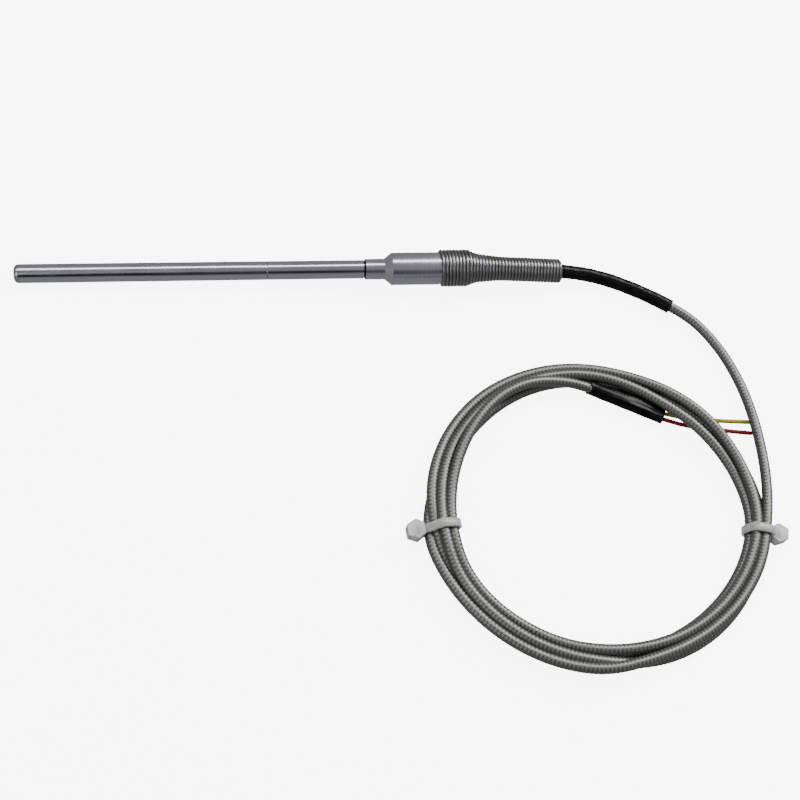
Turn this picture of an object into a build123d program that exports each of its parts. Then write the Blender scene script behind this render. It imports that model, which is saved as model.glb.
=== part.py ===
"""Metal-sheathed thermocouple: probe, stepped sleeve, strain-relief spring and a coiled braided lead.

The object lies on a flat surface. +Z is the surface's normal. The origin is on the probe's axis where the
sheath enters the sleeve's neck, and +X runs along the probe from its tip towards the lead, as seen from above.
All sizes are in millimetres.
"""
import os
from math import asin, atan2, cos, degrees, pi, radians, sin, tan

from build123d import *

# Sheath and its tip
SHEATH_LENGTH = 91.0  # from the tip to the sleeve's neck
SHEATH_DIAMETER = 5.0
SHEATH_WALL = 0.5
SHEATH_INSERTION = 11.0  # inside the sleeve
TIP_THICKNESS = 1.5
TIP_EDGE_RADIUS = 1.2
TIP_SPIGOT_LENGTH = 2.0
MARK_POSITION = -26.0  # a fine scribed ring round the sheath
MARK_WIDTH = 0.3
MARK_DEPTH = 0.08
SEAT_DIAMETER = 4.6  # the sheath's turned-down end, inside the sleeve

# Measuring wires, their junction and the two-bore insulators
ELEMENT_DIAMETER = 0.65
WIRE_OFFSET = 0.7  # each wire from the probe's axis
JUNCTION_DIAMETER = 1.8
JUNCTION_FROM_TIP = 6.2
FILLER_LENGTH = 5.0
BEAD_COUNT = 6
BEAD_DIAMETER = 3.8
BEAD_LENGTH = 14.8
BEAD_GAP = 0.1
BEAD_BORE = 0.85
SEAL_LENGTH = 4.0

# Stepped sleeve, its potting and the spliced joints in it
NECK_DIAMETER = 5.6
NECK_START = 0.4  # a narrow ring of the sheath's turned-down end shows before the neck
SHOULDER_START = 5.6
SHOULDER_END = 7.6
SLEEVE_DIAMETER = 8.8
SLEEVE_LENGTH = 28.4
SLEEVE_BORE = 7.4
SLEEVE_BORE_START = 9.5
SPIGOT_DIAMETER = 8.4  # turned down under the spring
SPIGOT_CHAMFER = 0.35
POTTING_END = 27.5
SPLICE_DIAMETER = 1.4
SPLICE_LENGTH = 4.0
SPLICE_STARTS = {"positive": 12.0, "negative": 17.0}

# Strain-relief spring: wide turns on the sleeve, a steep taper, a slow taper and narrow turns that droop
SPRING_WIRE = 0.86
SPRING_PITCH = 0.92
SPRING_CLEARANCE = 0.03  # round the spigot
WIDE_TURNS = 8
STEEP_TURNS = 2
SLOW_TURNS = 8
NARROW_TURNS = 19
SLOW_START_RADIUS = 3.78  # to the middle of the wire
NARROW_OUTER_DIAMETER = 6.7
STEEP_DROOP = 0.4  # degrees below level
SLOW_DROOP = 2.4
NARROW_DROOP = 4.0

# Lead: a braided cable over two insulated cores
CABLE_DIAMETER = 2.8
CORE_DIAMETER = 1.2
CONDUCTOR_DIAMETER = 0.7
FRONT_SHRINK_DIAMETER = 3.9
CABLE_START = 23.0  # along the probe's axis, inside the sleeve

# Route of the lead's free stretch: x, y and height above the surface
LEAD_ROUTE = [
    (23.0, 0.0, 5.14),
    (32.0, 0.0, 5.28),
    (43.0, 0.1, 4.61),
    (54.0, 0.1, 3.75),
    (64.0, -0.6, 2.8),
    (73.5, -3.7, 2.2),
    (83.0, -8.8, 2.15),
    (91.6, -14.8, 2.05),
    (97.5, -23.2, 1.6),
    (101.0, -33.0, 1.65),
    (102.3, -43.6, 2.5),
    (102.3, -54.4, 3.1),
    (101.2, -65.0, 3.7),
    (98.6, -75.0, 4.5),
]
FRONT_SHRINK_CORNERS = (2, 6)  # the heat-shrink covers these corners, and half a run beyond each

# Coil: an oval bundle of turns
COIL_CENTRE = (55.0, -70.0)
COIL_HALF_LENGTH = 42.1  # along X, to the middle of the bundle
COIL_HALF_WIDTH = 38.3  # along Y
BUNDLE_WIDTH = 6.8
BUNDLE_HEIGHT = 5.7
BUNDLE_EDGE_RADIUS = 2.2

# Cable ties
TIE_ANGLES = {"right": -12.0, "left": 186.0}  # degrees round the coil's oval
TIE_WIDTH = 2.5
TIE_THICKNESS = 0.9
TIE_HEAD_LENGTH = 4.8
TIE_HEAD_WIDTH = 4.6
TIE_HEAD_HEIGHT = 3.4
TIE_HEAD_CHAMFER = 1.2
TIE_EDGE_RADIUS = 0.4
TIE_SQUEEZE = 0.06  # how far the band presses into the turns

# Far end of the lead: a heat-shrink boot and two bare-ended wires
BOOT_START = (58.1, -35.4, 2.15)
BOOT_END = (77.4, -44.4, 1.5)
BOOT_START_DIAMETER = 4.2
BOOT_END_WIDTH = 4.1
BOOT_END_HEIGHT = 2.9
CABLE_IN_BOOT = 8.0
CABLE_BEFORE_BOOT = 2.0
YELLOW_ROUTE = [
    (65.7, -38.25, 1.85),
    (71.7, -41.0, 1.6),
    (77.8, -43.3, 1.2),
    (84.8, -44.6, 0.75),
    (92.2, -45.4, 0.62),
    (102.0, -46.0, 0.61),
]
RED_ROUTE = [
    (65.15, -39.35, 1.85),
    (71.1, -42.1, 1.6),
    (77.1, -44.8, 1.2),
    (84.0, -46.9, 0.75),
    (91.8, -48.1, 0.62),
    (101.8, -49.3, 0.61),
]
BARE_END = 1.6
CHANNEL_X = (77.6, 98.0)  # the room left for the wires under the coil
CHANNEL_Y = (-50.0, -42.6)
CHANNEL_HEIGHT = 1.9

# Worked-out sizes
SPIGOT_RADIUS = SPIGOT_DIAMETER / 2
WIDE_RADIUS = SPIGOT_RADIUS + SPRING_CLEARANCE + SPRING_WIRE / 2
WIDE_LENGTH = WIDE_TURNS * SPRING_PITCH
NARROW_RADIUS = (NARROW_OUTER_DIAMETER - SPRING_WIRE) / 2
SPRING_START = SLEEVE_LENGTH - WIDE_LENGTH
SPIGOT_START = SPRING_START - SPRING_WIRE / 2 - SPRING_CLEARANCE
TIP_CONTACT = SHEATH_LENGTH - TIP_EDGE_RADIUS
# The probe rests on its tip and on the first turn of the spring, so its axis rises towards the lead.
RISE_ANGLE = degrees(
    asin((WIDE_RADIUS + SPRING_WIRE / 2 - SHEATH_DIAMETER / 2) / (SPRING_START + TIP_CONTACT))
)
SURFACE = -(SHEATH_DIAMETER / 2 * cos(radians(RISE_ANGLE)) + TIP_CONTACT * sin(radians(RISE_ANGLE)))


def lay(shape):
    """Turn a shape built along the level X axis to the probe's resting position."""
    return Rot(0, -RISE_ANGLE, 0) * shape


def rod(diameter, start, end, offset=0.0):
    """A round bar along X from start to end, offset sideways along Y."""
    return Pos(start, offset, 0) * Rot(0, 90, 0) * extrude(Circle(diameter / 2), end - start)


def side(name):
    """Sideways place of the positive or the negative wire."""
    return WIRE_OFFSET if name == "positive" else -WIRE_OFFSET


def sheath_tube():
    """The long thin tube: a fine scribed ring near its middle and an end turned down to fit the sleeve."""
    start = -SHEATH_LENGTH + TIP_THICKNESS
    radius = SHEATH_DIAMETER / 2
    outline = Polyline(
        (start, radius - SHEATH_WALL),
        (start, radius),
        (MARK_POSITION, radius),
        (MARK_POSITION + MARK_WIDTH / 2, radius - MARK_DEPTH),
        (MARK_POSITION + MARK_WIDTH, radius),
        (0, radius),
        (0, SEAT_DIAMETER / 2),
        (SHEATH_INSERTION, SEAT_DIAMETER / 2),
        (SHEATH_INSERTION, radius - SHEATH_WALL),
        close=True,
    )
    return revolve(make_face(outline), Axis.X)


def sheath_end_cap():
    """The welded end plug: a rounded disc with a spigot inside the tube."""
    face = -SHEATH_LENGTH + TIP_THICKNESS
    disc = rod(SHEATH_DIAMETER, -SHEATH_LENGTH, face)
    outer_edge = disc.edges().filter_by(GeomType.CIRCLE).sort_by(Axis.X)[0]
    disc = fillet(outer_edge, TIP_EDGE_RADIUS)
    return disc + rod(SHEATH_DIAMETER - 2 * SHEATH_WALL, face, face + TIP_SPIGOT_LENGTH)


def hot_junction():
    """The welded bead where the two measuring wires meet."""
    return Pos(-SHEATH_LENGTH + JUNCTION_FROM_TIP, 0, 0) * Sphere(JUNCTION_DIAMETER / 2)


def element(name):
    """One measuring wire, from the junction to the middle of its splice."""
    end = SPLICE_STARTS[name] + SPLICE_LENGTH / 2
    wire = rod(ELEMENT_DIAMETER, -SHEATH_LENGTH + JUNCTION_FROM_TIP, end, side(name))
    return wire - hot_junction()


def both_elements():
    return element("positive") + element("negative")


def filler_start():
    return -SHEATH_LENGTH + TIP_THICKNESS + TIP_SPIGOT_LENGTH


def tip_filler():
    """Packed powder round the junction."""
    start = filler_start()
    body = rod(SHEATH_DIAMETER - 2 * SHEATH_WALL, start, start + FILLER_LENGTH)
    return body - hot_junction() - both_elements()


def insulator_bead(index):
    """One two-bore ceramic insulator."""
    start = filler_start() + FILLER_LENGTH + BEAD_GAP + index * (BEAD_LENGTH + BEAD_GAP)
    bead = rod(BEAD_DIAMETER, start, start + BEAD_LENGTH)
    for name in SPLICE_STARTS:
        bead -= rod(BEAD_BORE, start, start + BEAD_LENGTH, side(name))
    return bead


def sheath_seal():
    """The plug that closes the sheath's open end round the two wires."""
    body = rod(SHEATH_DIAMETER - 2 * SHEATH_WALL, SHEATH_INSERTION - SEAL_LENGTH, SHEATH_INSERTION)
    return body - both_elements()


def transition_sleeve():
    """The stepped sleeve: neck, sloping shoulder, body and the spigot under the spring."""
    outline = Polyline(
        (NECK_START, SEAT_DIAMETER / 2),
        (NECK_START, NECK_DIAMETER / 2),
        (SHOULDER_START, NECK_DIAMETER / 2),
        (SHOULDER_END, SLEEVE_DIAMETER / 2),
        (SPIGOT_START, SLEEVE_DIAMETER / 2),
        (SPIGOT_START, SPIGOT_RADIUS),
        (SLEEVE_LENGTH - SPIGOT_CHAMFER, SPIGOT_RADIUS),
        (SLEEVE_LENGTH, SPIGOT_RADIUS - SPIGOT_CHAMFER),
        (SLEEVE_LENGTH, SLEEVE_BORE / 2),
        (SLEEVE_BORE_START, SLEEVE_BORE / 2),
        (SLEEVE_BORE_START, SEAT_DIAMETER / 2),
        close=True,
    )
    return revolve(make_face(outline), Axis.X)


def splice(name):
    """A crimped tube that joins a measuring wire to a conductor of the lead."""
    start = SPLICE_STARTS[name]
    middle = start + SPLICE_LENGTH / 2
    tube = rod(SPLICE_DIAMETER, start, start + SPLICE_LENGTH, side(name))
    tube -= rod(ELEMENT_DIAMETER, start, middle, side(name))
    return tube - rod(CONDUCTOR_DIAMETER, middle, start + SPLICE_LENGTH, side(name))


def front_conductor(name):
    """The lead's conductor between its splice and the cable."""
    return rod(CONDUCTOR_DIAMETER, SPLICE_STARTS[name] + SPLICE_LENGTH / 2, CABLE_START, side(name))


def front_core(name):
    """The insulation on that conductor."""
    start = SPLICE_STARTS[name] + SPLICE_LENGTH + 0.5
    core = rod(CORE_DIAMETER, start, CABLE_START, side(name))
    return core - front_conductor(name)


def sleeve_potting():
    """The cement that fills the sleeve round the splices and the start of the cable."""
    body = rod(SLEEVE_BORE, SLEEVE_BORE_START, POTTING_END)
    body -= rod(SEAT_DIAMETER, SLEEVE_BORE_START, SHEATH_INSERTION)
    body -= both_elements()
    for name in SPLICE_STARTS:
        body -= rod(SPLICE_DIAMETER, SPLICE_STARTS[name], SPLICE_STARTS[name] + SPLICE_LENGTH, side(name))
        body -= front_conductor(name)
        body -= rod(CORE_DIAMETER, SPLICE_STARTS[name] + SPLICE_LENGTH + 0.5, CABLE_START, side(name))
    return body


def spring_part(origin, angle_up, turns, start_radius, end_radius):
    """A length of helix whose axis leaves origin at angle_up degrees above level. It starts and ends at +Y."""
    height = turns * SPRING_PITCH
    slope = atan2(end_radius - start_radius, height)
    axis = (cos(radians(angle_up)), 0, sin(radians(angle_up)))
    helix = Helix(SPRING_PITCH / cos(slope), height, start_radius, cone_angle=degrees(slope))
    path = Plane(origin=origin, x_dir=(0, 1, 0), z_dir=axis) * helix
    section = Plane(origin=path @ 0, z_dir=path % 0) * Circle(SPRING_WIRE / 2)
    end = Vector(*origin) + Vector(*axis) * height
    return sweep(section, path=path, is_frenet=True), end


def strain_relief_spring():
    """One close-wound spring: the wide turns grip the sleeve and the narrow ones guide the lead.

    Its four lengths are solids that meet end to end.
    """
    end = Vector(cos(radians(RISE_ANGLE)), 0, sin(radians(RISE_ANGLE))) * SPRING_START
    lengths = [
        (RISE_ANGLE, WIDE_TURNS, WIDE_RADIUS, WIDE_RADIUS),
        (-STEEP_DROOP, STEEP_TURNS, WIDE_RADIUS, SLOW_START_RADIUS),
        (-SLOW_DROOP, SLOW_TURNS, SLOW_START_RADIUS, NARROW_RADIUS),
        (-NARROW_DROOP, NARROW_TURNS, NARROW_RADIUS, NARROW_RADIUS),
    ]
    solids = []
    for angle_up, turns, start_radius, end_radius in lengths:
        part, end = spring_part(end, angle_up, turns, start_radius, end_radius)
        solids.append(part.solid())
    return Compound(children=solids)


def on_surface(points):
    """Points given by their height above the surface, in the part's own coordinates."""
    return [Vector(x, y, SURFACE + height) for x, y, height in points]


def corner_radii(points):
    """The largest round bend at each corner: 0.45 of the shorter run over the tangent of half the turn."""
    radii = []
    for before, corner, after in zip(points, points[1:], points[2:]):
        arriving = corner - before
        leaving = after - corner
        turn = radians(arriving.get_angle(leaving))
        radii.append(0.45 * min(arriving.length, leaving.length) / tan(turn / 2))
    return radii


def cord_path(points, name):
    """Straight runs joined by tangent arcs."""
    radii = corner_radii(points)
    print(name, "bend radii:", [round(radius, 1) for radius in radii])
    return FilletPolyline(*points, radius=radii)


def part_of_path(points, first, last):
    """The same path from half a run before one corner to half a run after another."""
    start = (points[first - 1] + points[first]) / 2
    end = (points[last] + points[last + 1]) / 2
    radii = corner_radii(points)[first - 1:last]
    return FilletPolyline(start, *points[first:last + 1], end, radius=radii)


def tube_on(path, diameter):
    """A solid round cord along a path."""
    section = Plane(origin=path @ 0, z_dir=path % 0) * Circle(diameter / 2)
    tube = sweep(section, path=path)
    print("   length", round(path.length, 1), "volume ratio",
          round(tube.volume / (pi * diameter ** 2 / 4 * path.length), 4))
    return tube


def front_heat_shrink(cable):
    """Heat-shrink over the first part of the cable, from inside the spring."""
    path = part_of_path(on_surface(LEAD_ROUTE), *FRONT_SHRINK_CORNERS)
    return tube_on(path, FRONT_SHRINK_DIAMETER) - cable


def oval_point(angle):
    """A point of the coil's middle line, and the outward direction there, in degrees."""
    x = COIL_HALF_LENGTH * cos(radians(angle))
    y = COIL_HALF_WIDTH * sin(radians(angle))
    outward = degrees(atan2(sin(radians(angle)) / COIL_HALF_WIDTH, cos(radians(angle)) / COIL_HALF_LENGTH))
    return Vector(COIL_CENTRE[0] + x, COIL_CENTRE[1] + y, SURFACE), outward


def lead_coil(cuts):
    """The outer shape of the coiled turns, cut back where other pieces press into it or pass beneath."""
    half = BUNDLE_WIDTH / 2
    ring = Ellipse(COIL_HALF_LENGTH + half, COIL_HALF_WIDTH + half)
    ring -= Ellipse(COIL_HALF_LENGTH - half, COIL_HALF_WIDTH - half)
    solid = Pos(COIL_CENTRE[0], COIL_CENTRE[1], SURFACE) * extrude(ring, BUNDLE_HEIGHT)
    rims = solid.edges().filter_by(Plane.XY)
    solid = fillet(rims, BUNDLE_EDGE_RADIUS)
    for cut in cuts:
        solid -= cut
    return solid


def tie_section(extra):
    """The band's outline across the bundle, extra outside its opening."""
    width = BUNDLE_WIDTH - 2 * TIE_SQUEEZE + 2 * extra
    height = BUNDLE_HEIGHT - TIE_SQUEEZE - TIE_THICKNESS + 2 * extra
    return RectangleRounded(width, height, BUNDLE_EDGE_RADIUS + extra)


def tie_band(extra, width):
    """A bar along the bundle with the band's outline, centred on the opening."""
    return Rot(90, 0, 0) * extrude(tie_section(extra), width / 2, both=True)


def cable_tie(angle):
    """One moulded tie: a band round the bundle and its head on the outer side."""
    place, outward = oval_point(angle)
    middle_height = (BUNDLE_HEIGHT - TIE_SQUEEZE + TIE_THICKNESS) / 2
    head = Box(TIE_HEAD_LENGTH, TIE_HEAD_WIDTH, TIE_HEAD_HEIGHT)
    head = chamfer(head.edges().filter_by(Axis.Z).sort_by(Axis.X)[2:], TIE_HEAD_CHAMFER)
    head = fillet(head.faces().sort_by(Axis.X)[-1].edges().filter_by(Axis.Y), TIE_EDGE_RADIUS)
    head = Pos((BUNDLE_WIDTH + TIE_HEAD_LENGTH) / 2, 0, 0) * head
    tie = tie_band(TIE_THICKNESS, TIE_WIDTH) + head - tie_band(0, TIE_HEAD_WIDTH)
    return Location(place + Vector(0, 0, middle_height), (0, 0, outward)) * tie


def boot_direction():
    start, end = on_surface([BOOT_START, BOOT_END])
    return (end - start).normalized()


def boot_outside():
    """The boot's outer shape, from a circle over the cable to an oval over the two wires."""
    start, end = on_surface([BOOT_START, BOOT_END])
    along = boot_direction()
    sideways = Vector(0, 0, 1).cross(along).normalized()
    first = Plane(origin=start, x_dir=sideways, z_dir=along) * Circle(BOOT_START_DIAMETER / 2)
    last = Plane(origin=end, x_dir=sideways, z_dir=along) * Ellipse(BOOT_END_WIDTH / 2, BOOT_END_HEIGHT / 2)
    return loft([first, last])


def lead_cable_end():
    """The last of the braided cable, where it enters the boot."""
    start, _ = on_surface([BOOT_START, BOOT_END])
    along = boot_direction()
    section = Plane(origin=start - along * CABLE_BEFORE_BOOT, z_dir=along) * Circle(CABLE_DIAMETER / 2)
    return extrude(section, CABLE_BEFORE_BOOT + CABLE_IN_BOOT)


def wire_tail(route, name):
    """One insulated wire beyond the cable: its whole body, its insulation and its conductor."""
    path = cord_path(on_surface(route), name)
    body = tube_on(path, CORE_DIAMETER)
    section = Plane(origin=path @ 0, z_dir=path % 0) * Circle(CONDUCTOR_DIAMETER / 2)
    core = sweep(section, path=path)
    bare = Plane(origin=path @ 1, z_dir=path % 1) * Circle(CONDUCTOR_DIAMETER / 2)
    conductor = core + extrude(bare, BARE_END)
    return body, body - core, conductor


def wire_channel():
    """The room under the coil that the two wires pass through."""
    length = CHANNEL_X[1] - CHANNEL_X[0]
    width = CHANNEL_Y[1] - CHANNEL_Y[0]
    place = Pos(sum(CHANNEL_X) / 2, sum(CHANNEL_Y) / 2, SURFACE)
    return place * Box(length, width, 2 * CHANNEL_HEIGHT)


def build_nodes():
    """Every separate piece, by the name of its node."""
    lead_cable = tube_on(cord_path(on_surface(LEAD_ROUTE), "lead"), CABLE_DIAMETER)
    cable_end = lead_cable_end()
    yellow_body, yellow_insulation, yellow_conductor = wire_tail(YELLOW_ROUTE, "yellow wire")
    red_body, red_insulation, red_conductor = wire_tail(RED_ROUTE, "red wire")
    boot_shape = boot_outside()
    ties = {name: cable_tie(angle) for name, angle in TIE_ANGLES.items()}

    nodes = {
        "sheath_tube": lay(sheath_tube()),
        "sheath_end_cap": lay(sheath_end_cap()),
        "tip_filler": lay(tip_filler()),
        "hot_junction": lay(hot_junction()),
        "sheath_seal": lay(sheath_seal()),
        "transition_sleeve": lay(transition_sleeve()),
        "sleeve_potting": lay(sleeve_potting()) - lead_cable,
        "strain_relief_spring": strain_relief_spring(),
        "front_heat_shrink": front_heat_shrink(lead_cable),
        "lead_cable": lead_cable,
        "lead_coil": lead_coil([*ties.values(), boot_shape, cable_end, wire_channel()]),
        "lead_cable_end": cable_end,
        "rear_boot": boot_shape - cable_end - yellow_body - red_body,
        "yellow_wire_insulation": yellow_insulation,
        "yellow_wire_conductor": yellow_conductor,
        "red_wire_insulation": red_insulation,
        "red_wire_conductor": red_conductor,
    }
    for index in range(BEAD_COUNT):
        nodes[f"insulator_bead_{index + 1}"] = lay(insulator_bead(index))
    for name in SPLICE_STARTS:
        nodes[f"element_{name}"] = lay(element(name))
        nodes[f"splice_{name}"] = lay(splice(name))
        nodes[f"front_conductor_{name}"] = lay(front_conductor(name))
        nodes[f"front_core_{name}"] = lay(front_core(name))
    for name, tie in ties.items():
        nodes[f"cable_tie_{name}"] = tie
    return nodes


def main():
    os.makedirs("parts", exist_ok=True)
    print("rise angle", round(RISE_ANGLE, 4), "surface at z", round(SURFACE, 4))
    for name, shape in build_nodes().items():
        export_step(shape, f"parts/{name}.step")


main()
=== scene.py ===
"""Looks of the metal-sheathed thermocouple: steel probe, spring, braided lead, ties, boot and wires."""
from itertools import combinations
from math import atan2, cos, pi, radians, sin

import bmesh
import bpy
import numpy as np
from mathutils import Matrix, Vector
from mathutils.geometry import convex_hull_2d


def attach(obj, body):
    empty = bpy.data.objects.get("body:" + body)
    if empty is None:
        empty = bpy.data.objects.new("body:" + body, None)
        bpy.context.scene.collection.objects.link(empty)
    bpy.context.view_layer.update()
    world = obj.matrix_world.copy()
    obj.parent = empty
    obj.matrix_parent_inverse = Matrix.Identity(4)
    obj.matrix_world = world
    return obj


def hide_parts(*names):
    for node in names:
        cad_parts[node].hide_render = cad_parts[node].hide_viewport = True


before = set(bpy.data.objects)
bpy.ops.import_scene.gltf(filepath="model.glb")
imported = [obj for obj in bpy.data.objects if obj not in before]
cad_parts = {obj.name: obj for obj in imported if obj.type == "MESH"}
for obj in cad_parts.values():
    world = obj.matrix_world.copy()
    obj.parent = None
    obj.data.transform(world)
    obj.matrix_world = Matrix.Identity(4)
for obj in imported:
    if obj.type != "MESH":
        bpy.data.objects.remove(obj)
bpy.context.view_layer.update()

MM = 0.001
SURFACE = -4.5977  # height of the surface in the part's own frame, mm

# Camera, in mm, heights above the surface
CAMERA_PLACE = (-42.7, -173.6, 276.7)
CAMERA_TARGET = (7.39, -37.2, 0.0)
CAMERA_ROLL = 17.0  # degrees
CAMERA_LENS = 54.0
SENSOR_WIDTH = 36.0

# Probe and spring, along the probe's axis, mm
RISE_ANGLE = 1.339  # degrees
MARK_MIDDLE = -25.84
MARK_WIDTH = 0.4
MARK_SHADE = 0.32  # how much darker the scribed ring is, as a share
GROOVE_MIDDLE = 0.2
GROOVE_WIDTH = 0.5
# painted shade: how much darker the groove's recess is drawn, as a share
GROOVE_PAINTED_SHADE = 0.93
SLEEVE_LENGTH = 28.4
SPRING_WIRE = 0.9
SPRING_PITCH = 0.92
WIDE_TURNS = 8
TAPER_TURNS = 10
NARROW_TURNS = 19
# The taper: distance past the sleeve's end, and radius to the middle of the wire
TAPER = [
    (0.0, 4.66),
    (1.0, 4.12),
    (1.9, 3.80),
    (3.0, 3.57),
    (4.1, 3.42),
    (5.5, 3.28),
    (6.9, 3.17),
    (8.3, 3.02),
    (9.2, 2.92),
]
TAPER_DROOP = 2.0  # degrees
NARROW_DROOP = 4.0  # degrees
WIDE_BEND = 1.5  # how far the axis bends each side of the sleeve's end
NARROW_BEND = 2.0
SPRING_WAVER = 0.015
SPRING_WAVES = (1.7, 0.45)  # radians per mm
SPRING_STEPS = 28  # per turn
SPRING_SIDES = 12
SPRING_TIP = [0.6, 0.93]  # the wire's first rings, as a share of its radius

# Lead: x, y and height above the surface, mm. The coil's turns come between this route and CABLE_END.
CABLE_DIAMETER = 2.8
LEAD_ROUTE = [
    (23.0, 0.0, 5.14),
    (32.0, 0.0, 5.28),
    (43.0, 0.1, 4.61),
    (54.0, 0.1, 3.75),
    (64.0, -0.6, 2.8),
    (73.5, -3.7, 2.2),
    (83.0, -8.8, 2.15),
    (91.6, -14.8, 2.05),
    (97.5, -23.2, 1.6),
    (101.0, -33.0, 1.65),
    (102.3, -43.6, 2.5),
    (102.3, -54.4, 3.1),
    (101.2, -65.0, 3.7),
    (98.6, -75.0, 4.5),
]
COIL_CENTRE = (55.0, -70.0)
# Where the four turns lie in the bundle: angle round the coil, then each turn's radius and level
COIL_STATIONS = [
    (353, (44.2, 1.0), (43.6, 0.0), (40.7, 0.0), (41.6, 1.0)),
    (338, (42.9, 1.0), (42.6, 0.0), (39.5, 0.0), (40.3, 1.0)),
    (323, (41.6, 1.0), (42.2, 0.0), (38.2, 0.0), (39.0, 1.0)),
    (308, (40.4, 1.1), (41.5, 0.0), (37.2, 0.0), (37.9, 1.0)),
    (291, (39.7, 1.2), (40.8, 0.0), (36.8, 0.0), (37.1, 1.0)),
    (279, (39.9, 1.3), (40.1, 0.0), (37.1, 0.0), (36.8, 1.0)),
    (267, (41.0, 1.2), (39.5, 0.6), (37.7, 0.0), (36.8, 0.9)),
    (253, (42.1, 1.0), (39.6, 0.9), (40.4, 0.0), (37.0, 0.5)),
    (238, (42.7, 1.0), (40.1, 1.0), (41.3, 0.0), (37.1, 0.25)),
    (223, (43.3, 1.0), (40.6, 1.0), (41.8, 0.0), (37.9, 0.2)),
    (208, (44.2, 0.8), (41.6, 1.0), (42.4, 0.0), (39.1, 0.4)),
    (196, (44.6, 0.5), (41.9, 1.0), (42.5, 0.15), (39.3, 0.65)),
    (186, (44.9, 0.1), (41.3, 1.1), (43.0, 0.55), (38.8, 0.8)),
    (173, (42.9, 0.0), (40.8, 1.0), (43.4, 1.0), (38.3, 1.1)),
    (160, (39.6, 0.0), (40.6, 1.0), (43.0, 0.8), (37.9, 1.5)),
    (146, (38.1, 0.0), (39.9, 0.9), (42.5, 0.5), (37.8, 1.9)),
    (131, (37.4, 0.0), (39.4, 0.9), (42.1, 0.3), (38.2, 2.0)),
    (118, (37.1, 0.0), (38.9, 0.95), (41.4, 0.3), (38.0, 2.0)),
    (105, (37.0, 0.0), (38.4, 1.0), (40.9, 0.3), (36.8, 1.9)),
    (92, (36.8, 0.0), (38.1, 1.0), (40.5, 0.4), (35.0, 0.8)),
    (76, (36.3, 0.0), (37.4, 1.0), (40.0, 0.5), None),
    (62, (38.0, 0.0), (36.5, 1.0), (39.9, 0.85), None),
    (55, (39.0, 0.05), (36.3, 1.0), (40.3, 1.1), None),
    (48, (39.6, 0.2), (36.4, 1.0), (40.7, 1.2), None),
    (37, (40.4, 0.5), (37.2, 1.1), (40.9, 1.5), None),
    (26, (41.9, 0.3), (38.3, 0.8), (41.3, 1.3), None),
    (11, (43.4, 0.0), (40.0, 0.3), (41.8, 1.0), None),
]
COIL_STEP = 15  # degrees between the lead's points
LEVEL_BASE = CABLE_DIAMETER / 2
LEVEL_HEIGHT = 2.35  # from one level to the next, as each turn sinks between two below it
TIE_LIFT = 1.1  # the turns stand on the ties' bands
TIE_LIFT_SPREAD = 14.0  # degrees
SETTLE_GAP = 0.87 * CABLE_DIAMETER  # the braid gives a little where turns are tied together
SETTLE_ROUNDS = 30
CABLE_END = [(58.4, -35.6, 2.3), (65.35, -38.8, 1.85)]

# Braid: strands each way round, and the length along the cable between two strands, mm
BRAID_STRANDS = 3
BRAID_PITCH = 1.0
BRAID_RELIEF = 0.08
BRAID_STEP = BRAID_PITCH / 6
BRAID_SIDES = 40
WIRES_IN_STRAND = 5

# Front heat-shrink, mm
SHRINK_RADIUS = 1.92
SHRINK_WALL = 0.45
SHRINK_START = (37.5, 0.05)
SHRINK_END = (85.7, -10.6)
SHRINK_FLARE = 0.09
SHRINK_FLARE_LENGTH = 0.8
SHRINK_OVAL = 0.035
SHRINK_OVAL_WAVE = 0.9  # radians per mm
SHRINK_WAVER = 0.02
SHRINK_WAVER_WAVE = 2.3
SHRINK_HOLLOW = 0.8  # how deep its cut ends can be seen into
SHRINK_STEP = 0.35
SHRINK_SIDES = 40

# Boot and wires, mm
BOOT_START = (58.1, -35.4, 2.15)
BOOT_END = (77.4, -44.4, 1.5)
BOOT_RINGS = 61
BOOT_SIDES = 56
BOOT_HALF = 1.9
BOOT_WIDENING = 0.15
BOOT_FLATTENING = 0.45
BOOT_FLAT_START = 0.3  # where the boot starts to flatten, as a share of its length
BOOT_FLAT_SHARE = 0.55  # the share of its length over which it flattens
BOOT_FOLD = 0.16
BOOT_RIDGE = 0.13
BOOT_RIDGES = [(1.05, 0.16, 1.0), (2.3, 0.2, 0.8)]  # angle round the boot, width and share of BOOT_RIDGE
BOOT_BULGE = 1.15
BOOT_BULGE_PLACE = (2.95, 0.5)  # angle round the boot and width
BOOT_LIP = 0.05
BOOT_WAVER = 0.03
BOOT_WALL = 0.35
BOOT_HOLLOW = 0.7
WIRE_DIAMETER = 1.2
WIRE_STEP = 0.25
WIRE_SIDES = 24
THREADS_ROUND = 6  # threads each way round a wire's sleeve
THREADS_ALONG = 1.6  # crossings to each mm along it
THREAD_RELIEF = 0.015
YELLOW_ROUTE = [
    (65.7, -38.25, 1.85),
    (71.7, -41.0, 1.6),
    (77.8, -43.3, 1.2),
    (84.8, -44.6, 0.75),
    (92.2, -45.4, 0.62),
    (102.0, -46.0, 0.61),
]
RED_ROUTE = [
    (65.15, -39.35, 1.85),
    (71.1, -42.1, 1.6),
    (77.1, -44.8, 1.2),
    (84.0, -46.9, 0.75),
    (91.8, -48.1, 0.62),
    (101.8, -49.3, 0.61),
]

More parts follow.
